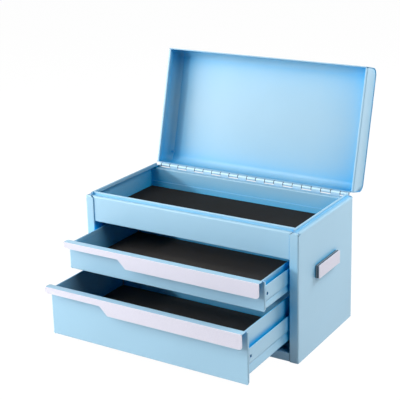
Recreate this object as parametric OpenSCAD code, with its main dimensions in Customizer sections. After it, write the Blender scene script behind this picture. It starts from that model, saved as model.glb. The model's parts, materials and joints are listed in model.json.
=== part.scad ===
// Portable tool box: lid over a tray, two sliding drawers, sheet steel case.
// Millimetres. X across the front, Y front to back, Z up, floor at Z 0.
// It is drawn with the lid back against its stop and both drawers part way out.

/* [Overall] */
// Width of the case, outside of the side panels
case_w = 368; // [290:0.5:450]
// Depth of the case, front posts to back panel
case_d = 186; // [150:0.5:230]
// Height of the case, floor to shoulder
case_h = 197; // [164:0.5:240]
// Height of the lid, rim to top
lid_h = 35; // [29:0.5:46]
// Sheet steel thickness
sheet = 0.8; // [0.65:0.05:1.0]

/* [Front frame] */
// Width of each front post
post_w = 14.4; // [11.5:0.1:18]
// Depth of the return behind each post
post_return = 12; // [9:0.5:15]
// Height of the apron above the drawers, with its shoulder
apron_h = 41.4; // [34:0.2:49]
// Height of the bottom rail
rail_h = 13.6; // [11:0.1:17]
// How far the apron stands behind the posts
apron_recess = 1.6; // [1.2:0.1:2.2]
// How far the bottom rail stands behind the posts
rail_recess = 0.4; // [0.2:0.1:1.4]
// Gap between a post and the sheets that lie between the posts
post_gap = 0.6; // [0.5:0.05:0.8]
// Outside bend radius between post and side
front_bend = 2.2; // [1.8:0.1:3]
// Outside bend radius of the rear corners
rear_bend = 6; // [4:0.1:8]
// Height of the base's turned-up edges
base_edge = 12; // [9:0.5:15]

/* [Collar] */
// From the outside of the case to the collar
collar_in = 7.6; // [7.2:0.1:9]
// Thickness of the folded collar
collar_t = 2.6; // [2.2:0.1:3.2]
// Height of the collar above the shoulder
collar_h = 4.8; // [3.6:0.1:6]
// How far the shelf along the back stands below the shoulder
shelf_drop = 3.2; // [2.4:0.1:4]

/* [Tray] */
// Depth of the tray, shoulder to steel floor
tray_deep = 37; // [30:0.5:39]
// Height of the tray floor's upturned edge
tray_edge = 11.5; // [9:0.1:14]
// Thickness of the black mats
mat_t = 2.5; // [2:0.1:3.2]

/* [Drawers] */
// Height of the upper drawer front
upper_front_h = 45.3; // [37:0.1:54]
// Opening above the upper drawer front
top_gap = 7.1; // [5.8:0.1:9]
// Opening between the two drawer fronts
mid_gap = 8.6; // [7:0.1:11]
// Opening below the lower drawer front
low_gap = 2.5; // [2:0.1:3.2]
// Space between a drawer front and a post
side_gap = 2.85; // [2.2:0.05:3.4]
// How far a closed drawer front stands behind the posts
front_recess = 12; // [10.5:0.1:15]
// Space behind a closed drawer
back_gap = 8; // [6:0.5:12]
// Height of the upper drawer's runners
upper_runner_h = 33.6; // [28:0.2:36]
// Height of the lower drawer's runners
lower_runner_h = 37.6; // [31:0.2:44]
// Depth of a runner, side wall to outer leg
runner_w = 6; // [5:0.1:7]
// How far the runners stand above the floor of their pan
runner_lift = 1.6; // [1.3:0.1:2]
// How far the upper pan stands above the foot of its front
upper_drop = 2.5; // [2:0.1:3]
// How far the lower pan stands above the foot of its front
lower_drop = 13.8; // [11:0.2:16]
// How far the upper drawer is pulled out as drawn
upper_out = 78; // [64:0.5:94]
// How far the lower drawer is pulled out as drawn
lower_out = 125; // [104:0.5:140]

/* [Drawer pulls] */
// From the left post to the left end of a pull
pull_left = 1.4; // [1.1:0.1:2.4]
// From the right end of a pull to the right post
pull_right = 5.6; // [4.5:0.1:6.8]
// How far a pull stands in front of its drawer front
pull_reach = 11.6; // [9.5:0.1:13.5]
// Height of the narrow part of a pull plate
pull_narrow = 9.4; // [7.5:0.1:11.5]
// Height of the finger part of a pull plate
pull_tall = 22.3; // [18.5:0.1:27]
// Start of the finger part, from the pull's left end
pull_step = 99; // [80:0.5:120]

/* [Lid] */
// Lid opening angle as drawn, against its stop
lid_angle = 104.5; // [90:0.5:110]
// Bend radius of the lid's front and back edges
lid_bend = 13; // [10:0.5:16]
// How far the shut lid reaches past the posts
lid_over = 7.2; // [5.5:0.1:9]
// How far the lid's ends stand inside the case's sides
lid_in = 2.2; // [1.8:0.1:2.6]

/* [Hinge] */
// Width of a knuckle of the piano hinge
knuckle_w = 16.5; // [13:0.1:20]
// Width of its first knuckle, where the hinge is cut to length
first_w = 5.2; // [4:0.1:8]
// Outside radius of a knuckle
knuckle_r = 3; // [2.5:0.1:3.4]
// Hinge pin diameter
pin_d = 3; // [2.4:0.1:3.2]
// Height of each hinge leaf
leaf_h = 14; // [11:0.5:17]

/* [Side grips] */
// Length of a grip
grip_len = 70.6; // [58:0.2:84]
// Height of a grip
grip_h = 20; // [16.5:0.1:24]
// How far a grip plate stands off the side panel
grip_out = 6.5; // [5.4:0.1:8]
// Height of the grip's middle above the floor
grip_z = 122; // [60:0.5:132]
// Distance of the grip's middle from the front
grip_y = 88.5; // [60:0.5:110]

/* [Hidden] */
$fn = 48;
hw = case_w / 2;
// seated faces stand seat apart, neighbouring sheets slip, sliding pieces play
seat = 0.1;
slip = 0.3;
play = 0.6;
br = sheet + 0.6;
top_bend = 3;
open_hw = hw - post_w;
front_hw = open_hw - side_gap;
apron_hw = open_hw - post_gap;
z_apron = case_h - apron_h;
z_bend = case_h - top_bend;
z_tray = case_h - tray_deep;
col_out = collar_in;
col_in = collar_in + collar_t;
// inside radius of the collar's foot, and how far its inner leg ends below the shoulder
foot_r = 0.7;
tail = 0.6;
rear_lap = 12;

// mitre between each post and the shoulder, and the gap along it measured across
mitre_w = post_w - col_out - 1.2;
mitre_h = 3.8;
mitre_gap = post_gap * norm([mitre_w, mitre_h]) / mitre_h;
// depth of the post's closed top outside and inside the collar, and the relief behind it
cap_y = front_bend + 0.2;
cap_tab = 6.2;
relief = 1.4;
// slit that frees the end of the shoulder: width, run and rise
slit_w = 1.4;
slit_run = 5.6;
slit_rise = 1.8;

// slide walls and rails: space before, behind and above a wall, and how far a rail ends inside it
slide_front = 3.7;
slide_rear = 14;
slide_head = 10;
rail_end = 0.8;
slide_x = open_hw + slip;
slide_y0 = post_return + slide_front;
slide_y1 = case_d - slide_rear;
slide_z1 = z_tray - slide_head;
rail_x = slide_x - seat;
rail_y0 = slide_y0 + rail_end;
rail_y1 = slide_y1 - rail_end;

// depth of the small folded returns: case front, walls, drawer fronts
case_turn = 8;
wall_turn = 9;
front_turn = 3;
// space round a mat
mat_slip = 0.9;
mat_side = 2.2;

// drawers: widths shared by both
leg_x = front_hw;
wall_x = front_hw - runner_w - seat;
pan_len = case_d - front_recess - back_gap;
hem_t = 2.4 * sheet;
hem_h = 5.5;

// runner's bead, its depth and its deepest and highest line below the top; rail's hook
bead_d = 1.9;
bead_low = 25.2;
bead_high = 20.6;
hook_gap = 0.85;
hook_h = 10.4;
// runner: start behind its front, height of its inner leg, stop hole's radius and place
run_start = 3.4;
run_inner = 14;
hole_r = 2.4;
hole_y = 7.5;
hole_drop = 12.5;
// pan: its hem below the front's top, depth of its folded hems
pan_low = 1.6;
pan_hem = 5.4;

// drawer heights: top and foot of front, foot of pan, foot of runners
up_top = z_apron - top_gap;
up_foot = up_top - upper_front_h;
lo_foot = rail_h + low_gap;
lo_top = up_foot - mid_gap;
up_run = up_foot + upper_drop;
lo_run = lo_foot + lower_drop;
up_slide = up_run + runner_lift;
lo_slide = lo_run + runner_lift;
up_y = front_recess - upper_out;
lo_y = front_recess - lower_out;
pull_x0 = -open_hw + pull_left;
pull_x1 = open_hw - pull_right;
plate_t = 1.1;

// lid, in its closed place
rim_z = case_h + play;
lid_z = rim_z + lid_h;
lid_hw = hw - lid_in;
end_x = lid_hw - sheet;
lid_lap = 10;

// hinge
leaf_t = 0.8 * sheet;
pin_y = case_d + knuckle_r + 0.3;
pin_z = case_h + 0.2;
hinge_len = case_w * 0.948;
knuckles = ceil((hinge_len - first_w) / knuckle_w) + 1;
knuckle_gap = 0.4;
pin_slip = 0.05;

// ---------- sheet-metal helpers ----------
module box2(x0, y0, x1, y1) translate([x0, y0]) square([x1 - x0, y1 - y0]);

// quarter of a bend: centre, outside radius, quadrant (0 is +x+y, then turning left)
module bend(c, r, q, t = sheet)
    translate(c) intersection() {
        difference() { circle(r); circle(r - t); }
        rotate(90 * q) square(r + 1);
    }

// closed fold at an edge: centre, outside radius, direction of the fold's back
module fold(c, r, a, t = sheet)
    translate(c) rotate(a) intersection() {
        difference() { circle(r); circle(r - t); }
        translate([-r - 1, 0]) square([2 * r + 2, r + 1]);
    }

// rectangle with its own radius at each corner: left foot, right foot, right top, left top
module plate2(x0, y0, x1, y1, a = 0, b = 0, c = 0, d = 0) {
    polygon([[x0 + a, y0], [x1 - b, y0], [x1, y0 + b], [x1, y1 - c],
             [x1 - c, y1], [x0 + d, y1], [x0, y1 - d], [x0, y0 + a]]);
    if (a > 0) translate([x0 + a, y0 + a]) circle(a);
    if (b > 0) translate([x1 - b, y0 + b]) circle(b);
    if (c > 0) translate([x1 - c, y1 - c]) circle(c);
    if (d > 0) translate([x0 + d, y1 - d]) circle(d);
}

// profile (x, y) raised along Z
module along_z(z0, z1) translate([0, 0, z0]) linear_extrude(z1 - z0) children();
// profile (x, z) run along Y
module along_y(y0, y1) translate([0, y1, 0]) rotate([90, 0, 0]) linear_extrude(y1 - y0) children();
// profile (y, z) run along X
module along_x(x0, x1) translate([x0, 0, 0]) rotate([90, 0, 90]) linear_extrude(x1 - x0) children();

module left() mirror([1, 0, 0]) children();
module framed() translate([0, -case_d / 2, 0]) children();
module opened()
    translate([0, pin_y, pin_z]) rotate([-lid_angle, 0, 0]) translate([0, -pin_y, -pin_z]) children();

// ---------- case ----------
// side sheet in plan: post return, post, side, wrapped rear edge
module side_plan() {
    box2(open_hw, br, open_hw + sheet, post_return);
    bend([open_hw + br, br], br, 2);
    box2(open_hw + br, 0, hw - front_bend, sheet);
    bend([hw - front_bend, front_bend], front_bend, 3);
    box2(hw - sheet, front_bend, hw, case_d - rear_bend);
    bend([hw - rear_bend, case_d - rear_bend], rear_bend, 0);
    box2(hw - rear_bend - rear_lap, case_d - sheet, hw - rear_bend, case_d);
}

// shoulder and folded collar in section; u runs inward from the outside face
module shoulder() {
    bend([top_bend, z_bend], top_bend, 1);
    box2(top_bend, case_h - sheet, col_out - foot_r, case_h);
    bend([col_out - foot_r, case_h + foot_r], foot_r + sheet, 3);
    collar();
}
module collar() {
    r = collar_t / 2;
    box2(col_out, case_h + foot_r, col_out + sheet, case_h + collar_h - r);
    fold([col_out + r, case_h + collar_h - r], r, 0);
    box2(col_in - sheet, case_h - tail, col_in, case_h + collar_h - r);
}

// top of the rear corner in plan, closing the shoulder behind the collar
module rear_corner() {
    r = rear_bend - sheet;
    box2(hw - col_in, case_d - rear_bend - 0.5, hw - rear_bend, case_d - sheet);
    box2(hw - rear_bend - 0.1, case_d - rear_bend - 0.5, hw - top_bend, case_d - rear_bend);
    translate([hw - rear_bend, case_d - rear_bend]) intersection() { circle(r); square(r + 1); }
}

// block that the top of a post is folded round, less o all round
module post_block(o) {
    e = o > 0 ? 1 : 0;
    x0 = open_hw - 1 - e;
    y1 = post_return + e;
    intersection() {
        along_x(x0, hw - o) plate2(o, z_bend - e, y1, case_h - o, 0, 0, 0, br - o);
        along_y(o, y1) plate2(x0, z_bend - e, hw - o, case_h - o, 0, 0, top_bend - o);
        along_z(z_bend - e, case_h - o) plate2(x0, o, hw - o, y1, 0, front_bend - o);
    }
}

// closed top of a post: a tab in front of the collar, a short return beside it
module post_top() intersection() {
    difference() {
        post_block(0);
        post_block(sheet);
    }
    along_z(z_bend, case_h) {
        box2(open_hw, 0, hw - col_out - slip, cap_tab);
        box2(open_hw, 0, hw, cap_y);
    }
}

module side_panel() color([0.66, 0.82, 0.93]) {
    difference() {
        union() {
            difference() {
                union() {
                    along_z(0, z_bend) side_plan();
                    post_top();
                }
                // mitre
                along_y(-1, post_return + 1)
                    polygon([[open_hw - 1, case_h - mitre_h], [open_hw, case_h - mitre_h],
                             [open_hw + mitre_w, case_h], [open_hw + mitre_w, case_h + 1],
                             [open_hw - 1, case_h + 1]]);
            }
            // rear corner stands a little higher than the bend line
            along_z(z_bend, case_h - sheet - seat) intersection() {
                side_plan();
                box2(hw - col_in, case_d - rear_bend + slip, hw, case_d);
            }
            along_y(cap_y + relief, case_d - rear_bend) translate([hw, 0]) mirror([1, 0]) shoulder();
            along_z(case_h - sheet, case_h) rear_corner();
        }
        // slit that frees the end of the shoulder
        translate([0, sheet, z_bend]) along_x(hw - front_bend + slip, hw + 1)
            polygon([[0, -slit_w], [slit_run, slit_rise - slit_w], [slit_run, slit_rise], [0, 0]]);
        // opening left at the rear corner, where the shoulder and the shelf part
        along_z(case_h - 2, case_h + 1)
            box2(hw - col_out + slip, case_d - rear_bend + slip, hw - top_bend + 0.5, case_d - top_bend);
        // finger slot behind the grip
        translate([hw - 3, grip_y, grip_z - 1]) rotate([90, 0, 90]) linear_extrude(6)
            plate2(-grip_len / 2 + 7, -grip_h / 2 + 1.5, grip_len / 2 - 7, grip_h / 2 - 3.5, 2, 2, 2, 2);
    }
}

module front_apron() color([0.68, 0.84, 0.95]) {
    y0 = apron_recess;
    xt = min(open_hw + mitre_w - mitre_gap, hw - col_in - slip);
    zm = case_h - mitre_h + (mitre_gap - post_gap) * mitre_h / mitre_w;
    intersection() {
        along_x(-hw, hw) {
            translate([y0, 0]) bend([top_bend, z_bend], top_bend, 1);
            box2(y0, z_apron + br, y0 + sheet, z_bend);
            bend([y0 + br, z_apron + br], br, 2);
            box2(y0 + br, z_apron, y0 + case_turn, z_apron + sheet);
            box2(y0 + top_bend, case_h - sheet, col_out - foot_r, case_h);
            bend([col_out - foot_r, case_h + foot_r], foot_r + sheet, 3);
        }
        // outline from the front, mitred into the posts' top corners
        along_y(0, case_d / 2)
            polygon([[-apron_hw, z_apron - 1], [apron_hw, z_apron - 1], [apron_hw, zm], [xt, case_h],
                     [xt, case_h + collar_h], [-xt, case_h + collar_h], [-xt, case_h], [-apron_hw, zm]]);
    }
    along_x(-xt, xt) collar();
}

module back_panel() color([0.66, 0.82, 0.93]) {
    zt = z_bend - shelf_drop;
    zs = case_h - shelf_drop;
    yb = case_d;
    lap = hw - rear_bend - rear_lap - slip;
    // outer sheet, stepped inward under the side panels' wrapped edges
    along_z(sheet + slip, zt) {
        box2(-lap, yb - sheet, lap, yb);
        for (s = [-1, 1]) scale([s, 1]) {
            box2(lap - sheet, yb - 2 * sheet - seat, lap, yb);
            box2(lap - sheet, yb - 2 * sheet - seat, hw - rear_bend, yb - sheet - seat);
        }
    }
    // shelf that closes the top, with the tray's back wall turned down from it
    along_x(-lap, lap) bend([yb - top_bend, zt], top_bend, 0);
    along_x(-hw + col_in + slip, hw - col_in - slip) {
        box2(yb - col_in + br, zs - sheet, yb - top_bend, zs);
        bend([yb - col_in + br, zs - br], br, 1);
        box2(yb - col_in, zt - 1, yb - col_in + sheet, zs - br);
    }
    along_x(-hw + sheet + slip, hw - sheet - slip)
        box2(yb - col_in, z_tray + tray_edge - case_turn, yb - col_in + sheet, zt);
}

module base_pan() color([0.6, 0.77, 0.89]) {
    x1 = hw - sheet - seat;
    y1 = case_d - 2 * sheet - 2 * seat;
    yp = post_return + play;
    y0 = rail_recess;
    // floor, cut back around the posts
    along_z(0, sheet) {
        box2(-apron_hw, y0 + br, apron_hw, yp);
        box2(-x1 + br, yp, x1 - br, y1 - br);
    }
    // turned-up edges
    for (s = [-1, 1]) scale([s, 1, 1]) along_y(yp, case_d - rear_bend) {
        bend([x1 - br, br], br, 3);
        box2(x1 - sheet, br, x1, base_edge);
    }
    along_x(-hw + rear_bend, hw - rear_bend) {
        bend([y1 - br, br], br, 3);
        box2(y1 - sheet, br, y1, base_edge);
    }
    // bottom rail across the front
    along_x(-apron_hw, apron_hw) {
        bend([y0 + br, br], br, 2);
        box2(y0, br, y0 + sheet, rail_h - br);
        bend([y0 + br, rail_h - br], br, 1);
        box2(y0 + br, rail_h - sheet, y0 + case_turn, rail_h);
        bend([y0 + case_turn, rail_h - br], br, 0);
        box2(y0 + case_turn + br - sheet, rail_h / 2, y0 + case_turn + br, rail_h - br);
    }
}

// ---------- tray under the lid ----------
module tray_floor() color([0.5, 0.68, 0.83]) {
    x1 = hw - sheet - slip;
    xp = open_hw - slip;
    yp = post_return + play;
    yf = apron_recess + sheet + seat;
    yr = case_d - col_in - seat;
    z0 = z_tray - sheet;
    along_z(z0, z_tray) {
        box2(-xp, yf + br, xp, yp);
        box2(-x1 + br, yp, x1 - br, yr - br);
    }
    along_x(-xp, xp) {
        bend([yf + br, z0 + br], br, 2);
        box2(yf, z0 + br, yf + sheet, z_tray + tray_edge - 2);
    }
    along_x(-x1 + br + 0.4, x1 - br - 0.4) {
        bend([yr - br, z0 + br], br, 3);
        box2(yr - sheet, z0 + br, yr, z_tray + tray_edge);
    }
    for (s = [-1, 1]) scale([s, 1, 1]) along_y(yp, yr - br - 0.4) {
        bend([x1 - br, z_tray - br], br, 0);
        box2(x1 - sheet, z_tray - case_turn, x1, z_tray - br);
    }
}

module tray_mat() color([0.1, 0.1, 0.1]) {
    yf = apron_recess + 2 * sheet + seat + mat_slip;
    yp = post_return + mat_slip + slip;
    along_z(z_tray, z_tray + mat_t) {
        plate2(-hw + mat_side, yp, hw - mat_side, case_d - col_in - sheet - mat_slip, 1, 1, 3, 3);
        plate2(-open_hw + mat_slip, yf, open_hw - mat_slip, yp + 1, 2, 2);
    }
}

// ---------- slides ----------
module slide_wall() color([0.55, 0.73, 0.87]) {
    x0 = slide_x;
    x1 = hw - sheet - seat;
    along_z(base_edge + 0.5, slide_z1) {
        box2(x0, slide_y0 + br, x0 + sheet, slide_y1 - br);
        bend([x0 + br, slide_y0 + br], br, 2);
        bend([x0 + br, slide_y1 - br], br, 1);
        for (m = [0, 1]) translate([0, m * (slide_y0 + slide_y1)]) scale([1, 1 - 2 * m]) {
            box2(x0 + br, slide_y0, x1 - br, slide_y0 + sheet);
            bend([x1 - br, slide_y0 + br], br, 3);
            box2(x1 - sheet, slide_y0 + br, x1, slide_y0 + wall_turn);
        }
    }
}

// case rail in section: floor under the runner, hook over its outer leg
module rail(zb, h) color([0.72, 0.75, 0.78]) {
    z0 = zb - play - sheet;
    z1 = zb + h + play + sheet;
    xa = rail_x;
    xh = wall_x + seat + sheet + hook_gap;
    along_y(rail_y0, rail_y1) {
        box2(xa - sheet, z0 + br, xa, z1 - br);
        bend([xa - br, z0 + br], br, 3);
        box2(xh, z0, xa - br, z0 + sheet);
        bend([xa - br, z1 - br], br, 0);
        box2(xh + br, z1 - sheet, xa - br, z1);
        bend([xh + br, z1 - br], br, 1);
        box2(xh, z1 - hook_h, xh + sheet, z1 - br);
    }
}

// inner corner of a sheet that leans a degrees before p and b degrees after it
function inner(p, a, b) = p - sheet * [cos(a) + cos(b), sin(a) + sin(b)] / (1 + cos(a - b));

// drawer runner in section: upward channel, its outer leg with a pressed bead and a hem
module runner(yf, zb, h) color([0.68, 0.84, 0.95]) {
    xw = wall_x + seat;
    zt = zb + h;
    zg = zt - bead_low;
    p = [leg_x, zb + br + 1];
    q = [leg_x - bead_d, zg];
    r = [leg_x, zt - bead_high];
    lean1 = atan2(bead_d, q[1] - p[1]);
    lean2 = -atan2(bead_d, r[1] - q[1]);
    difference() {
        along_y(yf + run_start, yf + pan_len) {
            box2(xw, zb + br, xw + sheet, zb + run_inner);
            bend([xw + br, zb + br], br, 2);
            box2(xw + br, zb, leg_x - br, zb + sheet);
            bend([leg_x - br, zb + br], br, 3);
            polygon([[leg_x, zb + br], p, q, r, [leg_x, zt - hem_t / 2],
                     [leg_x - sheet, zt - hem_t / 2], inner(r, lean2, 0), inner(q, lean1, lean2),
                     inner(p, 0, lean1), [leg_x - sheet, zb + br]]);
            fold([leg_x - hem_t / 2, zt - hem_t / 2], hem_t / 2, 0);
            box2(leg_x - hem_t, zt - hem_h, leg_x - hem_t + sheet, zt - hem_t / 2);
        }
        // stop hole
        translate([leg_x - 3, yf + hole_y, zt - hole_drop]) rotate([0, 90, 0]) cylinder(r = hole_r, h = 6);
    }
}

// ---------- drawers ----------
// folded pan: floor, side walls with a closed hem, front and back walls
module pan(yf, zb, ztop) color([0.62, 0.79, 0.91]) {
    x1 = wall_x;
    y0 = yf + sheet + seat;
    y1 = yf + pan_len;
    r = hem_t / 2;
    zh = ztop - pan_low;
    zf = zh - r - pan_hem;
    b = 2 * sheet;
    // floor
    along_z(zb, zb + sheet) box2(-x1 + b, y0 + b, x1 - b, y1 - b);
    // side walls
    for (s = [-1, 1]) scale([s, 1, 1]) {
        along_y(y0 + b, y1 - b) bend([x1 - b, zb + b], b, 3);
        along_y(y0 + 0.6, y1 - 0.2) {
            box2(x1 - sheet, zb + b, x1, zh - r);
            fold([x1 - r, zh - r], r, 0);
            box2(x1 - hem_t, zf, x1 - hem_t + sheet, zh - r);
        }
    }
    // front and back walls
    along_x(-x1 + hem_t + 0.4, x1 - hem_t - 0.4) {
        bend([y0 + b, zb + b], b, 2);
        box2(y0, zb + b, y0 + sheet, zh - 2);
        bend([y1 - b, zb + b], b, 3);
        box2(y1 - sheet, zb + b, y1, zh - r - 1);
        fold([y1 - r, zh - r - 1], r, 0);
        box2(y1 - hem_t, zf - 1, y1 - hem_t + sheet, zh - r - 1);
    }
}

module drawer_mat(yf, zb) color([0.1, 0.1, 0.1])
    along_z(zb + sheet, zb + sheet + mat_t)
        plate2(-wall_x + mat_side, yf + 2 * mat_side, wall_x - mat_side, yf + pan_len - mat_side - slip,
               1.5, 1.5, 1.5, 1.5);

// painted front: face with returns, lip turned forward along the top
module drawer_front(yf, zf, zt) color([0.68, 0.85, 0.96]) {
    x1 = front_hw;
    c = 3.2;
    yl = yf - pull_reach + plate_t + seat;
    // face, with rounded feet
    along_y(yf, yf + sheet) {
        box2(-x1 + c, zf + br, x1 - c, zf + c);
        for (s = [-1, 1]) scale([s, 1]) translate([x1 - c, zf + c])
            intersection() { circle(c); rotate(-90) square(c + 1); }
    }
    along_z(zf + c, zt - 2 * sheet) {
        box2(-x1 + br, yf, x1 - br, yf + sheet);
        for (s = [-1, 1]) scale([s, 1]) {
            bend([x1 - br, yf + br], br, 3);
            box2(x1 - sheet, yf + br, x1, yf + front_turn);
        }
    }
    // foot return
    along_x(-x1 + c, x1 - c) {
        bend([yf + br, zf + br], br, 2);
        box2(yf + br, zf, yf + front_turn, zf + sheet);
    }
    // bend into the lip
    along_x(-x1 + 0.6, x1 - 0.6) {
        box2(yf, zt - 2 * sheet, yf + sheet, zt - br);
        bend([yf - br + sheet, zt - br], br, 0);
    }
    // lip, rounded behind, and its turned-down front edge
    along_z(zt - sheet, zt)
        plate2(pull_x0, yl + br, pull_x1, yf - br + sheet, 0, 0, 2.4, 2.4);
    along_x(pull_x0 + 0.4, pull_x1 - 0.4) {
        bend([yl + br, zt - br], br, 1);
        box2(yl, zt - 6.4, yl + sheet, zt - br);
    }
}

// white plate: narrow strip that steps down to a finger grip
module drawer_pull(yf, zt) color([0.87, 0.86, 0.93]) {
    x0 = pull_x0;
    xs = pull_x0 + pull_step;
    sl = 13.5;
    zn = zt - pull_narrow;
    zw = zt - pull_tall;
    // centre of the rounded corner below the slanted step
    rc = 3;
    h = pull_tall - pull_narrow;
    k = (sqrt(sl * sl + h * h) - sl) / h;
    xc = xs + sl + rc * k;
    along_y(yf - pull_reach, yf - pull_reach + plate_t) {
        plate2(x0, zn, xs + sl, zt, 3.6, 0, 0, 2.2);
        plate2(xc, zw, pull_x1, zt, 0, 5, 1.4, 0);
        polygon([[xs, zn], [xs + sl - rc * k * sl / sqrt(sl * sl + h * h),
                 zw + rc * k * h / sqrt(sl * sl + h * h)], [xc, zw], [xc, zt], [xs, zt]]);
        translate([xc, zw + rc]) circle(rc);
    }
}

// ---------- side grips ----------
// moulded frame: an arch open at the foot, with a rib round its edge
module grip_frame() color([0.36, 0.42, 0.47]) {
    L = grip_len;
    H = grip_h;
    w = 3.6;
    for (k = [[0, 1.9, 0.5], [1.9, 3.3, 0], [3.3, grip_out - plate_t - 2 * seat, 0.5]])
        translate([hw + seat + k[0], grip_y, grip_z]) rotate([90, 0, 90]) linear_extrude(k[1] - k[0])
            difference() {
                plate2(-L / 2 + k[2], -H / 2 + 0.4, L / 2 - k[2], H / 2 - k[2], 0.6, 0.6, 1.6, 1.6);
                plate2(-L / 2 + w, -H / 2 - 1, L / 2 - w, H / 2 - w, 0, 0, 1.2, 1.2);
            }
}
module grip_plate() color([0.87, 0.86, 0.93])
    translate([hw + grip_out - plate_t, grip_y, grip_z]) rotate([90, 0, 90]) linear_extrude(plate_t)
        plate2(-grip_len / 2, -grip_h / 2, grip_len / 2, grip_h / 2, 1.6, 1.6, 1.6, 1.6);

// ---------- hinge ----------
// knuckle k starts at kx(k); even ones belong to the case, odd ones to the lid
function kx(k) = k == 0 ? -hinge_len / 2 : min(-hinge_len / 2 + first_w + (k - 1) * knuckle_w, hinge_len / 2);
function kw(k) = kx(k + 1) - kx(k) - knuckle_gap;
module on_pin(x) translate([x, pin_y, pin_z]) rotate([0, 90, 0]) children();
module leaf(first, up) {
    y0 = pin_y - knuckle_r;
    cut = knuckle_r + 0.5;
    difference() {
        union() {
            translate([-hinge_len / 2 + knuckle_gap / 2, y0, up ? pin_z + cut : pin_z - leaf_h])
                cube([hinge_len - knuckle_gap, leaf_t, leaf_h - cut]);
            for (k = [first:2:knuckles - 1]) {
                on_pin(kx(k) + knuckle_gap / 2) cylinder(r = knuckle_r, h = kw(k));
                translate([kx(k) + knuckle_gap / 2, y0, up ? pin_z : pin_z - cut - 0.1])
                    cube([kw(k), leaf_t, cut + 0.1]);
            }
        }
        on_pin(-hinge_len / 2 - 1) cylinder(r = pin_d / 2 + pin_slip, h = hinge_len + 2);
    }
}
module hinge_leaf_case() color([0.82, 0.86, 0.9]) leaf(0, false);
module hinge_leaf_lid() color([0.82, 0.86, 0.9]) opened() leaf(1, true);
module hinge_pin() color([0.75, 0.77, 0.8])
    on_pin(-hinge_len / 2 - 0.5) cylinder(r = pin_d / 2, h = hinge_len + 1);

// ---------- lid ----------
module lid_shell() color([0.68, 0.84, 0.95]) opened() {
    R = lid_bend;
    y0 = -lid_over;
    along_x(-lid_hw, lid_hw) {
        box2(y0, rim_z + hem_t / 2, y0 + sheet, lid_z - R);
        bend([y0 + R, lid_z - R], R, 1);
        box2(y0 + R, lid_z - sheet, case_d - R, lid_z);
        bend([case_d - R, lid_z - R], R, 0);
        box2(case_d - sheet, rim_z, case_d, lid_z - R);
    }
    // closed hem along the front rim
    along_x(-end_x + 2, end_x - 2) {
        fold([y0 + hem_t / 2, rim_z + hem_t / 2], hem_t / 2, 180);
        box2(y0 + hem_t - sheet, rim_z + hem_t / 2, y0 + hem_t, rim_z + 9);
    }
}

module lid_end() color([0.62, 0.79, 0.91]) {
    y0 = -lid_over + sheet + seat;
    y1 = case_d - sheet - seat;
    zt = lid_z - sheet - seat;
    R = lid_bend - sheet - seat;
    x1 = end_x;
    // inner edge of the rim flange, just outside the collar
    xf = hw - col_out + play;
    opened() {
        // end plate
        along_x(x1 - sheet, x1) plate2(y0, rim_z + br, y1, zt, 0, 0, R, R);
        // flange that lies inside the shell
        along_x(x1 - lid_lap, x1 - sheet / 2) difference() {
            plate2(y0, rim_z + 11, y1, zt, 0, 0, R, R);
            plate2(y0 + sheet, rim_z + 10, y1 - sheet, zt - sheet, 0, 0, R - sheet, R - sheet);
        }
        // rim flange, turned in and then up
        along_y(-lid_over + hem_t + slip, y1) {
            bend([x1 - br, rim_z + br], br, 3);
            box2(xf + br, rim_z, x1 - br, rim_z + sheet);
            bend([xf + br, rim_z + br], br, 2);
            box2(xf, rim_z + br, xf + sheet, rim_z + 6.5);
        }
    }
}

// ---------- what is drawn ----------
framed() left() side_panel();  // side_panel_left
framed() side_panel();  // side_panel_right
framed() front_apron();
framed() back_panel();
framed() base_pan();
framed() tray_floor();
framed() tray_mat();
framed() left() slide_wall();  // slide_wall_left
framed() slide_wall();  // slide_wall_right
framed() left() rail(up_slide, upper_runner_h);  // rail_upper_left
framed() rail(up_slide, upper_runner_h);  // rail_upper_right
framed() left() rail(lo_slide, lower_runner_h);  // rail_lower_left
framed() rail(lo_slide, lower_runner_h);  // rail_lower_right
framed() hinge_leaf_case();
framed() hinge_pin();
framed() hinge_leaf_lid();
framed() lid_shell();
framed() left() lid_end();  // lid_end_left
framed() lid_end();  // lid_end_right
framed() left() grip_frame();  // grip_frame_left
framed() grip_frame();  // grip_frame_right
framed() left() grip_plate();  // grip_plate_left
framed() grip_plate();  // grip_plate_right
framed() drawer_front(up_y, up_foot, up_top);  // upper_front
framed() drawer_pull(up_y, up_top);  // upper_pull
framed() pan(up_y, up_run, up_top);  // upper_pan
framed() left() runner(up_y, up_slide, upper_runner_h);  // upper_runner_left
framed() runner(up_y, up_slide, upper_runner_h);  // upper_runner_right
framed() drawer_mat(up_y, up_run);  // upper_mat
framed() drawer_front(lo_y, lo_foot, lo_top);  // lower_front
framed() drawer_pull(lo_y, lo_top);  // lower_pull
framed() pan(lo_y, lo_run, lo_top);  // lower_pan
framed() left() runner(lo_y, lo_slide, lower_runner_h);  // lower_runner_left
framed() runner(lo_y, lo_slide, lower_runner_h);  // lower_runner_right
framed() drawer_mat(lo_y, lo_run);  // lower_mat
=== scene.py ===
# %% [markdown]
# # A portable tool box with two drawers
# The real box is folded from thin sheet steel, powder coated in a pale blue, with off-white pull plates,
# black foam mats and a piano hinge along the back. Every sheet, bend and knuckle is already there as a
# solid: this lesson gives them their finishes, their light and the small fittings that the sheets carry.
# The first cell loads those solids. They are the fixed frame that everything else is built around.

# %% Load the solids
import json
import math

import bmesh
import bpy
from mathutils import Matrix, Vector


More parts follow.
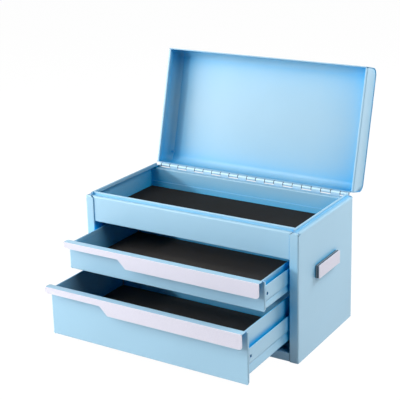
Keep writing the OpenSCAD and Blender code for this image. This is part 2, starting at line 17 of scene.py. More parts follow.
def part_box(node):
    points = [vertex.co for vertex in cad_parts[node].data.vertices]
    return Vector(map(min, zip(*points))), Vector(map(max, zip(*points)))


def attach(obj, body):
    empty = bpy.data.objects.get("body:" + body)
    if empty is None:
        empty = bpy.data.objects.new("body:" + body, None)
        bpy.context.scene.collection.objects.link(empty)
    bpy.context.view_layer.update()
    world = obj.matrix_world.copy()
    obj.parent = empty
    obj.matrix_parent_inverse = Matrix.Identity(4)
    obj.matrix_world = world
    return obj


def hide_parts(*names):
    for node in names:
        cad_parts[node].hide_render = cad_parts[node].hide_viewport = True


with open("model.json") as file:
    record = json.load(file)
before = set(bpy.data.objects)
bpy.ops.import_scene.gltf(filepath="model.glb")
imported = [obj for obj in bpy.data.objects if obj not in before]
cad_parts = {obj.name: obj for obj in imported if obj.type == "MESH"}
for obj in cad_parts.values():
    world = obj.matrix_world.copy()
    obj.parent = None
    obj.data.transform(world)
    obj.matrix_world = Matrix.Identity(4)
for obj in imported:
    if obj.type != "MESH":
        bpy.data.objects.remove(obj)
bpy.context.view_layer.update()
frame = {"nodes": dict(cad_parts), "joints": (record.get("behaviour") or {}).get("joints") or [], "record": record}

nodes = frame["nodes"]

# %% [markdown]
# ## The camera
# A product shot is taken with a long lens from a little above, turned to show the front and the right side.
# The camera is placed by its position, its turn (yaw), its tilt (pitch) and a trace of roll. The shift
# slides the picture on the sensor, the way a view camera does, so that upright edges stay nearly upright.

# %% Camera
CAMERA_AT = Vector((0.7888, -1.2882, 0.7028))
CAMERA_YAW = math.radians(30.195)
CAMERA_PITCH = math.radians(-15.483)
CAMERA_ROLL = math.radians(-0.816)
FOCAL_IN_WIDTHS = 2.5940
SENSOR_MM = 36.0
SHIFT_X, SHIFT_Y = -0.10, -0.15

camera_data = bpy.data.cameras.new("camera")
camera_data.sensor_width = SENSOR_MM
camera_data.lens = FOCAL_IN_WIDTHS * SENSOR_MM
camera_data.shift_x = SHIFT_X
camera_data.shift_y = SHIFT_Y
camera = bpy.data.objects.new("camera", camera_data)
turn = Matrix.Rotation(CAMERA_YAW, 3, "Z")
tilt = Matrix.Rotation(math.pi / 2 + CAMERA_PITCH, 3, "X")
roll = Matrix.Rotation(CAMERA_ROLL, 3, "Z")
camera.matrix_world = Matrix.Translation(CAMERA_AT) @ (turn @ tilt @ roll).to_4x4()
bpy.context.scene.collection.objects.link(camera)
bpy.context.scene.camera = camera
bpy.context.scene.view_settings.view_transform = "Standard"
print("camera: lens", round(camera_data.lens, 1), "mm")

# %% [markdown]
# ## Small helpers for node trees
# A material in Blender is a graph. These helpers keep the cells below short: one adds a node and sets its
# sockets, one joins two sockets, and one starts a material whose pattern reads Object coordinates, so that
# the pattern is fixed to the metal and keeps its real size in metres.

# %% Node helpers
EDGE_SAMPLES = 6
RUB_FROM, RUB_TO = 0.72, 0.99
HEMMED_FROM, HEMMED_TO = 0.3, 0.88


def add(tree, kind, **inputs):
    """A node of that kind, with the named input sockets set."""
    node = tree.nodes.new(kind)
    for name, value in inputs.items():
        node.inputs[name.replace("_", " ")].default_value = value
    return node


def join(tree, source, target):
    """Joins an output socket to an input socket."""
    tree.links.new(source, target)


def start_material(name):
    """A new material with its shader, and the Object coordinates that its patterns read."""
    material = bpy.data.materials.new(name)
    material.use_nodes = True
    tree = material.node_tree
    shader = tree.nodes["Principled BSDF"]
    place = tree.nodes.new("ShaderNodeTexCoord").outputs["Object"]
    return material, tree, shader, place


def noise(tree, place, scale, detail=2.0, rough=0.5):
    """Noise with features of about 1 / scale metres."""
    node = add(tree, "ShaderNodeTexNoise", Scale=scale, Detail=detail, Roughness=rough)
    join(tree, place, node.inputs["Vector"])
    return node.outputs["Fac"]


def spread(tree, value, low, high, from_low=0.3, from_high=0.7):
    """Maps a pattern's usual values to low..high."""
    node = add(tree, "ShaderNodeMapRange", From_Min=from_low, From_Max=from_high, To_Min=low, To_Max=high)
    join(tree, value, node.inputs["Value"])
    return node.outputs["Result"]


def two_tone(tree, value, dark, light):
    """A colour between dark and light, chosen by value."""
    node = tree.nodes.new("ShaderNodeMix")
    node.data_type = "RGBA"
    node.inputs["A"].default_value = (*dark, 1)
    node.inputs["B"].default_value = (*light, 1)
    join(tree, value, node.inputs["Factor"])
    return node.outputs["Result"]


def bumps(tree, height, strength, distance, under=None):
    """A bump of that depth in metres, laid over another normal if one is given."""
    node = add(tree, "ShaderNodeBump", Strength=strength, Distance=distance)
    join(tree, height, node.inputs["Height"])
    if under is not None:
        join(tree, under, node.inputs["Normal"])
    return node.outputs["Normal"]


def soft_edges(tree, radius):
    """The normal of an edge that is rounded to that radius, which catches the light as a real edge does."""
    node = add(tree, "ShaderNodeBevel", Radius=radius)
    node.samples = EDGE_SAMPLES
    return node.outputs["Normal"]


def wear_and_highlight_mask(tree, radius):
    """0 on a flat sheet, rising to 1 within that radius of an edge, where a coat is thin from wear and where a
    paler colour is painted as a highlight.
    """
    dot = tree.nodes.new("ShaderNodeVectorMath")
    dot.operation = "DOT_PRODUCT"
    join(tree, soft_edges(tree, radius), dot.inputs[0])
    join(tree, tree.nodes.new("ShaderNodeNewGeometry").outputs["Normal"], dot.inputs[1])
    return spread(tree, dot.outputs["Value"], 1.0, 0.0, RUB_FROM, RUB_TO)


def painted_shade_mask(tree, reach):
    """0 on open sheets, rising to 1 deep in a corner or a tray, measured by what lies within reach: how much
    painted shade goes there.
    """
    node = add(tree, "ShaderNodeAmbientOcclusion", Distance=reach)
    node.samples = EDGE_SAMPLES
    return spread(tree, node.outputs["AO"], 1.0, 0.0, HEMMED_FROM, HEMMED_TO)


def tinted(tree, value, base, tint):
    """The colour socket base, turned towards the colour tint where value is 1."""
    node = tree.nodes.new("ShaderNodeMix")
    node.data_type = "RGBA"
    join(tree, base, node.inputs["A"])
    node.inputs["B"].default_value = (*tint, 1)
    join(tree, value, node.inputs["Factor"])
    return node.outputs["Result"]


def calculate(tree, operation, first, second):
    """A Math node; second is a socket or a number."""
    node = tree.nodes.new("ShaderNodeMath")
    node.operation = operation
    join(tree, first, node.inputs[0])
    if isinstance(second, float):
        node.inputs[1].default_value = second
    else:
        join(tree, second, node.inputs[1])
    return node.outputs[0]


def along(tree, place, axis):
    """One coordinate of a place."""
    axes = tree.nodes.new("ShaderNodeSeparateXYZ")
    join(tree, place, axes.inputs[0])
    return axes.outputs[axis]


def paler(colour, share):
    """A colour moved that share of the way to white."""
    return tuple(c + (1 - c) * share for c in colour)

# %% [markdown]
# ## Powder coat
# Powder coat is a plastic film baked onto the steel. It is never quite flat: seen close it has the fine
# ripple that painters call orange peel, about a millimetre and a half across, and a sheet as large as the
# lid also bows by a few hundredths of a millimetre, which bends its reflections. Both are bump. The film
# pulls back a little at cut edges, so those are softened by a Bevel node instead of being knife sharp.
# Where sheets stand close together, in corners and trays, the colour is painted a deeper blue: painted shade
# that stands in for light bouncing from blue to blue. The Ambient Occlusion node measures how close they
# stand, and the gloss follows it too. Cut edges are painted paler, partly as wear of the coat and partly as
# a painted highlight.

# %% Powder coat material
PEEL_PER_METRE = 620.0
BOW_PER_METRE = 7.0
PATCHES_PER_METRE = 9.0
EDGE_RADIUS = 0.0004
MOULD_RADIUS = 0.0003
RUBBED_RADIUS = 0.0007
BOW_STRENGTH, BOW_DEPTH = 0.35, 0.0012
PEEL_STRENGTH, PEEL_DEPTH = 0.25, 0.00006
GLOSS_OPEN, GLOSS_INSIDE = 0.5, 0.06
COAT_OPEN, COAT_INSIDE = 0.25, 0.0
COAT_ROUGHNESS = 0.25
HEMMED_REACH = 0.055
LID_REACH = 0.09
FRONT_REACH = 0.012
FOOT_HEIGHT = 0.08
COAT_BLUE = (0.33, 0.55, 0.705)
# The lid is painted a little darker than the case: painted shade that tones down the light on the lid.
LID_BLUE_PAINTED_DARKER = tuple(0.96 * c for c in COAT_BLUE)
PAINTED_SHADE_BLUE = (0.0, 0.44, 0.84)


def powder_coat(name, colour, reach=HEMMED_REACH, foot=0.0, rough=0.40, depth=0.04, rubbed_and_highlit=0.3):
    """Satin powder coat. colour is linear; depth is how far it darkens and lightens by patches. Where sheets lie
    within reach of each other the blue is painted deeper, as painted shade, but not below the height foot, where
    only the floor is near. The last argument is how far the edges are painted paler, as wear and painted
    highlight."""
    material, tree, shader, place = start_material(name)
    patches = noise(tree, place, PATCHES_PER_METRE, 3.0)
    dark = tuple(c * (1 - depth) for c in colour)
    light = tuple(min(1, c * (1 + depth)) for c in colour)
    painted_shade_share = painted_shade_mask(tree, reach)
    if foot:
        above_floor = spread(tree, along(tree, place, "Z"), 0.0, 1.0, foot / 3, foot)
        painted_shade_share = calculate(tree, "MULTIPLY", painted_shade_share, above_floor)
    # Painted shade: the blue turns deeper where sheets stand close together, in corners and trays.
    film_with_painted_shade = tinted(tree, painted_shade_share, two_tone(tree, patches, dark, light), PAINTED_SHADE_BLUE)
    # Painted highlight and wear: edges are painted paler, partly as thin coat and partly as highlight.
    edge_worn_and_highlit = tinted(tree, wear_and_highlight_mask(tree, RUBBED_RADIUS), film_with_painted_shade, paler(colour, rubbed_and_highlit))
    join(tree, edge_worn_and_highlit, shader.inputs["Base Color"])
    peel = noise(tree, place, PEEL_PER_METRE, 2.0)
    join(tree, spread(tree, peel, rough - 0.04, rough + 0.05), shader.inputs["Roughness"])
    wave = noise(tree, place, BOW_PER_METRE, 1.0)
    bow = bumps(tree, wave, BOW_STRENGTH, BOW_DEPTH, soft_edges(tree, EDGE_RADIUS))
    join(tree, bumps(tree, peel, PEEL_STRENGTH, PEEL_DEPTH, bow), shader.inputs["Normal"])
    join(tree, spread(tree, painted_shade_share, GLOSS_OPEN, GLOSS_INSIDE, 0.0, 1.0), shader.inputs["Specular IOR Level"])
    join(tree, spread(tree, painted_shade_share, COAT_OPEN, COAT_INSIDE, 0.0, 1.0), shader.inputs["Coat Weight"])
    shader.inputs["Coat Roughness"].default_value = COAT_ROUGHNESS
    return material


coats = {
    "case_paint": powder_coat("case_blue", COAT_BLUE, foot=FOOT_HEIGHT),
    "lid_paint": powder_coat("lid_blue_painted_darker", LID_BLUE_PAINTED_DARKER, LID_REACH),
    "front_paint": powder_coat("front_blue", COAT_BLUE, FRONT_REACH),
    "drawer_paint": powder_coat("drawer_blue", COAT_BLUE),
}
print("powder coats:", len(coats))

# %% [markdown]
# ## Off-white pull plates and grips
# The pull plates and the grips' covers have a finer, drier coat with a trace of violet in the white. Its
# speckle is the fine grain of a textured powder, half a millimetre across.

# %% Pull plate material
GRAINS_PER_METRE = 1500.0
WHITE_DARK = (0.61, 0.60, 0.70)
WHITE_LIGHT = (0.69, 0.68, 0.77)
RIM_WEAR_AND_HIGHLIGHT_WHITE = (0.8, 0.8, 0.86)
RIM_WIDTH = 0.0012
GRAIN_STRENGTH, GRAIN_DEPTH = 0.3, 0.00005
WHITE_ROUGH = (0.44, 0.58)


def speckled_white(name):
    """Textured off-white coat, painted paler at its rims, partly as wear and partly as a painted highlight."""
    material, tree, shader, place = start_material(name)
    grain = noise(tree, place, GRAINS_PER_METRE, 3.0, 0.6)
    coat = two_tone(tree, spread(tree, grain, 0, 1), WHITE_DARK, WHITE_LIGHT)
    # Painted highlight and wear: the rims are painted paler.
    edge_worn_and_highlit = tinted(tree, wear_and_highlight_mask(tree, RIM_WIDTH), coat, RIM_WEAR_AND_HIGHLIGHT_WHITE)
    join(tree, edge_worn_and_highlit, shader.inputs["Base Color"])
    join(tree, spread(tree, grain, *WHITE_ROUGH), shader.inputs["Roughness"])
    skin = bumps(tree, grain, GRAIN_STRENGTH, GRAIN_DEPTH, soft_edges(tree, MOULD_RADIUS))
    join(tree, skin, shader.inputs["Normal"])
    return material


pull_white = speckled_white("pull_white")
print("pull plates:", pull_white.name)

# %% [markdown]
# ## Black foam mats
# The mats are closed-cell foam with an embossed pebble skin. The pebbles are Voronoi cells two millimetres
# across, and a coarser noise gives the soft, patchy sheen of rubber that has been rolled up and laid flat.
# The drawers' mats are painted a paler black than the tray's: painted light that makes up for the shade
# inside the drawers.

# %% Mat material
PEBBLES_PER_METRE = 480.0
PEBBLE_STRENGTH, PEBBLE_DEPTH = 0.5, 0.0003
CLOUDS_PER_METRE = 16.0
MAT_ROUGH = (0.74, 0.9)
MAT_GLOSS = 0.06
TRAY_BLACKS = ((0.022, 0.0215, 0.021), (0.030, 0.029, 0.028))
# Painted light: the drawers' blacks are paler to make up for the shade inside the drawers.
DRAWER_BLACKS_PAINTED_PALER = ((0.072, 0.067, 0.063), (0.100, 0.094, 0.089))


def foam(name, dark, light):
    """Black foam with a pebble skin, between two greys."""
    material, tree, shader, place = start_material(name)
    pebbles = add(tree, "ShaderNodeTexVoronoi", Scale=PEBBLES_PER_METRE)
    join(tree, place, pebbles.inputs["Vector"])
    clouds = noise(tree, place, CLOUDS_PER_METRE, 4.0)
    join(tree, two_tone(tree, clouds, dark, light), shader.inputs["Base Color"])
    join(tree, spread(tree, clouds, *MAT_ROUGH), shader.inputs["Roughness"])
    skin = bumps(tree, pebbles.outputs["Distance"], PEBBLE_STRENGTH, PEBBLE_DEPTH)
    join(tree, skin, shader.inputs["Normal"])
    shader.inputs["Specular IOR Level"].default_value = MAT_GLOSS
    return material


tray_foam = foam("tray_foam", *TRAY_BLACKS)
drawer_foam_painted_paler = foam("drawer_foam_painted_paler", *DRAWER_BLACKS_PAINTED_PALER)
print("mats:", tray_foam.name, "and", drawer_foam_painted_paler.name)

# %% [markdown]
# ## Zinc, hinge steel and moulded plastic
# The rails inside are zinc plated, which is a metal with faint, cloudy spangles. The hinge is bright plated
# steel, and its barrel carries fine drawing lines along its length. The gaps between its knuckles are painted
# dark, as painted shade. The grips' arches are moulded in grey, and their rib is painted paler, as a painted
# highlight.

# %% Metal and plastic materials
GRAIN_PER_METRE = 900.0
SPANGLE_PER_METRE = 90.0
DRAWN_OUT = 0.06
KNUCKLE_WIDTH = 0.0165
FIRST_JOINT = -0.16923
JOINT_HALF = 0.0006
BARREL_RADIUS = 0.0034
KNUCKLE_GAP_SHADE = (0.006, 0.03, 0.07)
ZINC = (0.55, 0.57, 0.60)
HINGE_PLATE = (0.52, 0.74, 0.86)
HINGE_BARE = 0.2
PLATE_ROUGH = 0.42
PLATE_DARKER = 0.86
PLATE_STRENGTH, PLATE_DEPTH = 0.2, 0.00004
PLATE_RADIUS = 0.0002
SPARKS_PER_METRE = 1100.0
SPARK_STRENGTH, SPARK_DEPTH = 0.3, 0.00006
GRIP_DARKER = 0.8
GRIP_ROUGH = (0.42, 0.56)
GRIP_GREY = (0.05, 0.075, 0.10)
RIB_HIGHLIGHT_GREY = (0.24, 0.29, 0.33)
GRIP_RIB = (0.0019, 0.0033)

hinge = next(joint for joint in frame["joints"] if joint["name"] == "lid_hinge")
pin = Vector(hinge["pos_m"])
side_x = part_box("side_panel_right")[1][0]


def plated(name, colour, rough, lines, metal=1.0, joint_shade=None):
    """Plated steel. lines says if the grain is drawn out along the hinge; metal is how bare the steel is, and the
    last argument, if given, makes the mask of the joints that are painted dark as shade."""
    material, tree, shader, place = start_material(name)
    stretch = add(tree, "ShaderNodeMapping", Scale=(DRAWN_OUT, 1, 1) if lines else (1, 1, 1))
    join(tree, place, stretch.inputs["Vector"])
    grain = noise(tree, stretch.outputs["Vector"], GRAIN_PER_METRE if lines else SPANGLE_PER_METRE, 3.0)
    dark = tuple(PLATE_DARKER * c for c in colour)
    plate = two_tone(tree, grain, dark, colour)
    if joint_shade is not None:
        # Painted shade: the gaps between the knuckles are painted dark.
        plate = tinted(tree, joint_shade(tree, place), plate, KNUCKLE_GAP_SHADE)
    join(tree, plate, shader.inputs["Base Color"])
    join(tree, spread(tree, grain, rough - 0.06, rough + 0.1), shader.inputs["Roughness"])
    shader.inputs["Metallic"].default_value = metal
    lined = bumps(tree, grain, PLATE_STRENGTH, PLATE_DEPTH, soft_edges(tree, PLATE_RADIUS))
    join(tree, lined, shader.inputs["Normal"])
    return material


def shaded_knuckle_joints(tree, place):
    """1 where two knuckles of the hinge meet, on the barrel only: the gaps that are painted dark as shade."""
    from_first = calculate(tree, "SUBTRACT", along(tree, place, "X"), FIRST_JOINT)
    from_joint = calculate(tree, "PINGPONG", from_first, KNUCKLE_WIDTH / 2)
    joint = calculate(tree, "LESS_THAN", from_joint, JOINT_HALF)
    from_pin = tree.nodes.new("ShaderNodeVectorMath")
    from_pin.operation = "DISTANCE"
    level = tree.nodes.new("ShaderNodeCombineXYZ")
    join(tree, along(tree, place, "Y"), level.inputs["Y"])
    join(tree, along(tree, place, "Z"), level.inputs["Z"])
    join(tree, level.outputs[0], from_pin.inputs[0])
    from_pin.inputs[1].default_value = (0, pin.y, pin.z)
    barrel = calculate(tree, "LESS_THAN", from_pin.outputs["Value"], BARREL_RADIUS)
    return calculate(tree, "MULTIPLY", joint, barrel)


def moulded(name, colour, rib_highlight_colour, rib_from, rib_to):
    """Moulded plastic with a spark-eroded grain. Its proud band, between two distances from the middle of the box
    along X, is painted paler than the recesses beside it, as a painted highlight."""
    material, tree, shader, place = start_material(name)
    grain = noise(tree, place, SPARKS_PER_METRE, 4.0, 0.6)
    skin = two_tone(tree, grain, tuple(GRIP_DARKER * c for c in colour), colour)
    node = tree.nodes.new("ShaderNodeMath")
    node.operation = "ABSOLUTE"
    join(tree, along(tree, place, "X"), node.inputs[0])
    out = node.outputs[0]
    up_to_rib = calculate(tree, "LESS_THAN", out, rib_to)
    before_rib = calculate(tree, "LESS_THAN", out, rib_from)
    highlit_rib = calculate(tree, "SUBTRACT", up_to_rib, before_rib)
    # Painted highlight: the rib is painted paler than the recesses beside it.
    join(tree, tinted(tree, highlit_rib, skin, rib_highlight_colour), shader.inputs["Base Color"])
    join(tree, spread(tree, grain, *GRIP_ROUGH), shader.inputs["Roughness"])
    eroded = bumps(tree, grain, SPARK_STRENGTH, SPARK_DEPTH, soft_edges(tree, MOULD_RADIUS))
    join(tree, eroded, shader.inputs["Normal"])
    return material


rail_zinc = plated("rail_zinc", ZINC, PLATE_ROUGH, False)
hinge_bright = plated("hinge_bright", HINGE_PLATE, PLATE_ROUGH, True, HINGE_BARE, shaded_knuckle_joints)
grip_grey = moulded("grip_grey", GRIP_GREY, RIB_HIGHLIGHT_GREY, side_x + GRIP_RIB[0], side_x + GRIP_RIB[1])
print("metals and plastic:", rail_zinc.name, hinge_bright.name, grip_grey.name)

# %% [markdown]
# ## Giving the solids their finishes
# Every solid names a material slot, so one dictionary from slot to finish paints the whole box.

# %% Paint the solids
finishes = dict(coats)
finishes["pull_paint"] = pull_white
finishes["mat_rubber"] = drawer_foam_painted_paler
finishes["rail_zinc"] = rail_zinc
finishes["hinge_steel"] = hinge_bright
finishes["grip_plastic"] = grip_grey
for part in frame["record"]["subparts"]:
    slots = nodes[part["node"]].material_slots
    for slot in slots:
        slot.material = finishes[part["material_slot"]]
nodes["tray_mat"].material_slots[0].material = tray_foam
print("painted", len(nodes), "solids in", len(finishes), "finishes")

# %% [markdown]
# ## Rivets along the hinge
# The hinge's leaves are riveted to the back of the case and to the lid. Heads that repeat along a line are a
# job for Geometry Nodes: one domed head is spun from its profile, the tree sets out points along the leaf
# and stamps the head on each. The tree has named inputs for the count, the first place and the step, so the
# same tree serves both leaves. The result is then made a plain mesh, because the export drops instances.

# %% Rivet heads
RIVET_RADIUS = 0.0026
RIVET_HEIGHT = 0.0009
RIVETS = 8
RIVET_MARGIN = 0.017
RIVET_LEVEL = 0.7
LEAF_THICK = 0.00064
HEAD_STEPS = 6
HEAD_SIDES = 24


def dome_mesh(name, radius, height):
    """A closed domed head on the XY plane, spun round Z from an elliptical profile."""
    shape = bmesh.new()
    rings = []
    for i in range(HEAD_STEPS):
        rise = math.pi / 2 * i / HEAD_STEPS
        r, z = radius * math.cos(rise), height * math.sin(rise)
        around = [2 * math.pi * k / HEAD_SIDES for k in range(HEAD_SIDES)]
        rings.append([shape.verts.new((r * math.cos(a), r * math.sin(a), z)) for a in around])
    top = shape.verts.new((0, 0, height))
    for k in range(HEAD_SIDES):
        after = (k + 1) % HEAD_SIDES
        for low, high in zip(rings, rings[1:]):
            shape.faces.new((low[k], low[after], high[after], high[k]))
        shape.faces.new((rings[-1][k], rings[-1][after], top))
    shape.faces.new(list(reversed(rings[0])))
    for face in shape.faces:
        face.smooth = len(face.verts) < HEAD_SIDES
    mesh = bpy.data.meshes.new(name)
    shape.to_mesh(mesh)
    shape.free()
    return mesh


def row_tree(material):
    """A node tree that repeats the object's own mesh along a line and gives it the material."""
    tree = bpy.data.node_groups.new("rivet_row", "GeometryNodeTree")
    face = tree.interface
    face.new_socket("Geometry", in_out="INPUT", socket_type="NodeSocketGeometry")
    face.new_socket("Count", in_out="INPUT", socket_type="NodeSocketInt")
    face.new_socket("First", in_out="INPUT", socket_type="NodeSocketVector")
    face.new_socket("Step", in_out="INPUT", socket_type="NodeSocketVector")
    face.new_socket("Turn", in_out="INPUT", socket_type="NodeSocketVector")
    face.new_socket("Geometry", in_out="OUTPUT", socket_type="NodeSocketGeometry")
    start, end = tree.nodes.new("NodeGroupInput"), tree.nodes.new("NodeGroupOutput")
    line = tree.nodes.new("GeometryNodeMeshLine")
    stamp = tree.nodes.new("GeometryNodeInstanceOnPoints")
    real = tree.nodes.new("GeometryNodeRealizeInstances")
    paint = add(tree, "GeometryNodeSetMaterial", Material=material)
    join(tree, start.outputs["Count"], line.inputs["Count"])
    join(tree, start.outputs["First"], line.inputs["Start Location"])
    join(tree, start.outputs["Step"], line.inputs["Offset"])
    join(tree, line.outputs["Mesh"], stamp.inputs["Points"])
    join(tree, start.outputs["Geometry"], stamp.inputs["Instance"])
    join(tree, start.outputs["Turn"], stamp.inputs["Rotation"])
    join(tree, stamp.outputs["Instances"], real.inputs["Geometry"])
    join(tree, real.outputs["Geometry"], paint.inputs["Geometry"])
    join(tree, paint.outputs["Geometry"], end.inputs["Geometry"])
    return tree


def row_of(name, head, tree, count, first, step, turn, place=Matrix.Identity(4)):
    """Runs the tree on the head and returns the row as one plain mesh object, moved by place."""
    seed = bpy.data.objects.new(name + "_seed", head)
    bpy.context.scene.collection.objects.link(seed)
    nodes_modifier = seed.modifiers.new("row", "NODES")
    nodes_modifier.node_group = tree
    values = {"Count": count, "First": first, "Step": step, "Turn": turn}
    for item in tree.interface.items_tree:
        if item.in_out == "INPUT" and item.name in values:
            nodes_modifier[item.identifier] = values[item.name]
    seed.update_tag()
    made = seed.evaluated_get(bpy.context.evaluated_depsgraph_get())
    mesh = bpy.data.meshes.new_from_object(made)
    mesh.name = name
    mesh.transform(place)
    seed.modifiers.remove(nodes_modifier)
    bpy.data.objects.remove(seed)
    row = bpy.data.objects.new(name, mesh)
    bpy.context.scene.collection.objects.link(row)
    return row


opened = Matrix.Rotation(math.radians(-hinge["range_deg"][1]), 4, "X")
about_pin = Matrix.Translation(pin) @ opened @ Matrix.Translation(-pin)
leaf_low, leaf_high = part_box("hinge_leaf_case")
leaf_back = leaf_low.y + LEAF_THICK
below_pin = pin.z - leaf_low.z
first_x = leaf_low.x + RIVET_MARGIN
step_x = (leaf_high.x - leaf_low.x - 2 * RIVET_MARGIN) / (RIVETS - 1)
rivet_tree = row_tree(hinge_bright)
rivet_head = dome_mesh("rivet_head", RIVET_RADIUS, RIVET_HEIGHT)
face_back = (-math.pi / 2, 0, 0)
rivet_rows = []
for row_name, body, height, place in (
    ("rivets_case", "cabinet", -RIVET_LEVEL * below_pin, Matrix.Identity(4)),
    ("rivets_lid", "lid", RIVET_LEVEL * below_pin, about_pin),
):
    first_at = (first_x, leaf_back, pin.z + height)
    row = row_of(row_name, rivet_head, rivet_tree, RIVETS, first_at, (step_x, 0, 0), face_back, place)
    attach(row, body)
    rivet_rows.append(row)
head_faces = sum(len(row.data.polygons) for row in rivet_rows)
print("rivets:", RIVETS * len(rivet_rows), "heads,", head_faces, "faces")

# %% [markdown]
# ## The weld that holds the lid's corner
# The end plate's flange is spot welded under the shell. One weld shows as a shallow oval near the rear
# corner, inside on the left.

# %% Weld mark
WELD_AT = (-0.1724, 0.0748)
WELD_HALF = (0.0042, 0.0021)
WELD_RISE = 0.0004
FLANGE_DEPTH = 0.0333
RIM_ABOVE_PIN = 0.0004

weld_mesh = dome_mesh("weld_mark", 1.0, 1.0)
rim_z = pin.z + RIM_ABOVE_PIN
flat_oval = Matrix.Diagonal((WELD_HALF[0], WELD_HALF[1], -WELD_RISE, 1))
on_flange = Vector((*WELD_AT, rim_z + FLANGE_DEPTH))
weld_mesh.transform(about_pin @ Matrix.Translation(on_flange) @ flat_oval)
weld_mesh.flip_normals()
weld_mesh.materials.append(coats["lid_paint"])
weld = bpy.data.objects.new("lid_weld_mark", weld_mesh)
bpy.context.scene.collection.objects.link(weld)
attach(weld, "lid")
print("weld mark at", [round(v, 4) for v in about_pin @ on_flange])

# %% [markdown]
# ## Trimming the lid's end plates
# Where the lap flange of an end plate meets its bends, the solid keeps two fins as thin as foil. A real plate
# is trimmed there, so each plate is copied, the fins are deleted and the cuts they leave are closed.

# %% Trim the end plates
FIN_RISE = (0.0090, 0.0102)
PLATE_INSIDE = 0.18025
SHARP_FROM = math.radians(30)
SAME_POINT = 1e-6

for name in ("lid_end_left", "lid_end_right"):
    shape = bmesh.new()
    shape.from_mesh(nodes[name].data)
    shape.transform(about_pin.inverted() @ nodes[name].matrix_world)
    bmesh.ops.remove_doubles(shape, verts=shape.verts, dist=SAME_POINT)
    fins = {
        vert for vert in shape.verts
        if FIN_RISE[0] < vert.co.z - rim_z < FIN_RISE[1] and abs(vert.co.x) < PLATE_INSIDE
    }
    before = len(shape.faces)
    fin_faces = [face for face in shape.faces if fins.issuperset(face.verts)]
    bmesh.ops.delete(shape, geom=fin_faces, context="FACES")
    bmesh.ops.holes_fill(shape, edges=[edge for edge in shape.edges if edge.is_boundary])
    bmesh.ops.recalc_face_normals(shape, faces=shape.faces)
    for face in shape.faces:
        face.smooth = True
    shape.transform(about_pin)
    plate_mesh = bpy.data.meshes.new(name + "_trimmed")
    shape.to_mesh(plate_mesh)
    open_edges = sum(not edge.is_manifold for edge in shape.edges)
    print(name, "had", before, "faces, has", len(shape.faces), "and open edges:", open_edges)
    shape.free()
    plate_mesh.set_sharp_from_angle(angle=SHARP_FROM)
    plate_mesh.materials.append(coats["lid_paint"])
    plate = bpy.data.objects.new(name + "_trimmed", plate_mesh)
    bpy.context.scene.collection.objects.link(plate)
    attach(plate, "lid")
    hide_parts(name)

# %% [markdown]
# ## Floor, backdrop and light
# The floor is white and lit, so the box keeps a soft shadow at its foot. What the camera itself sees of the
# floor and the sky is lifted to white with the Light Path node, and mirrors are shown the same white. The
# light that falls on the box isn't changed by that.

# %% Floor and sky
FLOOR_DROP = 0.0004
FLOOR_HALF = 6.0
FLOOR_LIT = (0.6, 0.6, 0.6, 1)
FLOOR_SHADE = (0.05, 0.05, 0.05, 1)
FLOOR_GLOW = 0.985
SKY_LIGHT = 0.0

floor_mesh = bpy.data.meshes.new("floor")
corners = [(-1, -1), (1, -1), (1, 1), (-1, 1)]
places = [(x * FLOOR_HALF, y * FLOOR_HALF, -FLOOR_DROP) for x, y in corners]
floor_mesh.from_pydata(places, [], [(0, 1, 2, 3)])
floor = bpy.data.objects.new("floor", floor_mesh)
bpy.context.scene.collection.objects.link(floor)


def seen_directly(tree):
    """1 for rays from the camera, a mirror or a glass, and 0 for light that falls on things."""
    path = tree.nodes.new("ShaderNodeLightPath")
    straight = calculate(tree, "MAXIMUM", path.outputs["Is Camera Ray"], path.outputs["Is Glossy Ray"])
    return calculate(tree, "MAXIMUM", straight, path.outputs["Is Transmission Ray"])


def white_floor():
    """Plain white that shows a faint shadow to the camera."""
    material = bpy.data.materials.new("floor_white")
    material.use_nodes = True
    tree = material.node_tree
    tree.nodes.clear()
    lit = add(tree, "ShaderNodeBsdfDiffuse", Color=FLOOR_LIT)
    shade = add(tree, "ShaderNodeBsdfDiffuse", Color=FLOOR_SHADE)
    glow = add(tree, "ShaderNodeEmission", Color=(1, 1, 1, 1), Strength=FLOOR_GLOW)
    seen = tree.nodes.new("ShaderNodeAddShader")
    join(tree, shade.outputs[0], seen.inputs[0])
    join(tree, glow.outputs[0], seen.inputs[1])
    choice = tree.nodes.new("ShaderNodeMixShader")
    join(tree, seen_directly(tree), choice.inputs[0])
    join(tree, lit.outputs[0], choice.inputs[1])
    join(tree, seen.outputs[0], choice.inputs[2])
    output = tree.nodes.new("ShaderNodeOutputMaterial")
    join(tree, choice.outputs[0], output.inputs["Surface"])
    return material


floor_mesh.materials.append(white_floor())

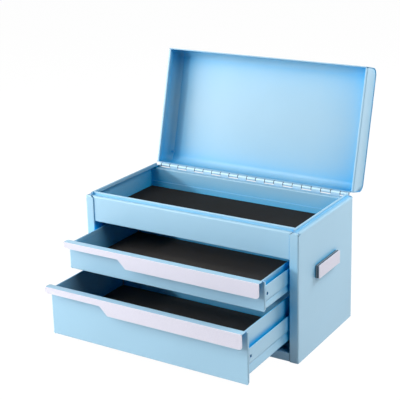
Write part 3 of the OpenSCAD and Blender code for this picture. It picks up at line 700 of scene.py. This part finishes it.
world = bpy.data.worlds.new("sky")
bpy.context.scene.world = world
world.use_nodes = True
sky = world.node_tree
sky_colour = sky.nodes["Background"]
sky_colour.inputs["Color"].default_value = (1, 1, 1, 1)
sky_strength = spread(sky, seen_directly(sky), SKY_LIGHT, 1.0, 0.0, 1.0)
join(sky, sky_strength, sky_colour.inputs["Strength"])
print("floor:", FLOOR_HALF * 2, "m across")

# %% [markdown]
# ## Lamps
# The main light is a large soft box low on the left. It lights the drawers' faces, and the lid's end shades
# the inside of the lid from it. A small lamp gives that shade a crisp edge. A soft box high in front lights
# the trays, and two on the right, one beside and one behind, light the side panel. The small lamp and the
# one behind are hidden from mirrors, because they would leave a hot spot inside the lid and a glare on its
# top. Between left and right lies a darker zone, which draws the upright corners as darker lines.

# %% Lamps
def aim(lamp, at, target):
    """Puts a lamp at a point and turns it to face another."""
    lamp.location = at
    lamp.rotation_euler = (Vector(target) - Vector(at)).to_track_quat("-Z", "Y").to_euler()


def soft_box(name, watts, width, height, at, target):
    """A rectangular lamp that only lights and isn't seen."""
    data = bpy.data.lights.new(name, "AREA")
    data.shape = "RECTANGLE"
    data.size = width
    data.size_y = height
    data.energy = watts
    lamp = bpy.data.objects.new(name, data)
    aim(lamp, at, target)
    lamp.visible_camera = False
    bpy.context.scene.collection.objects.link(lamp)
    return lamp


MIDDLE = (0.0, 0.0, 0.15)


def around(azimuth, elevation, distance):
    """A point round the middle of the box, in degrees: 0 is straight in front, negative is to the left."""
    turn_by, rise = math.radians(azimuth), math.radians(elevation)
    level = distance * math.cos(rise)
    return (level * math.sin(turn_by), -level * math.cos(turn_by), MIDDLE[2] + distance * math.sin(rise))


LAMPS = (
    # name, watts, width, height, azimuth, elevation, distance
    ("main", 25.0, 0.9, 0.9, -60, 12, 1.7),
    ("crisp", 14.5, 0.09, 0.09, -36, 14, 2.2),
    ("front_high", 12.0, 0.9, 0.9, -30, 42, 1.7),
    ("rear_right", 27.0, 0.9, 0.9, 140, 38, 1.7),
    ("side_right", 9.5, 0.9, 0.9, 80, 38, 1.7),
)
HIDDEN_FROM_MIRRORS = ("crisp", "rear_right")
lamps = []
for name, watts, width, height, *place in LAMPS:
    lamp = soft_box(name, watts, width, height, around(*place), MIDDLE)
    lamp.visible_glossy = name not in HIDDEN_FROM_MIRRORS
    lamps.append(lamp)
print("lamps:", [lamp.name for lamp in lamps])
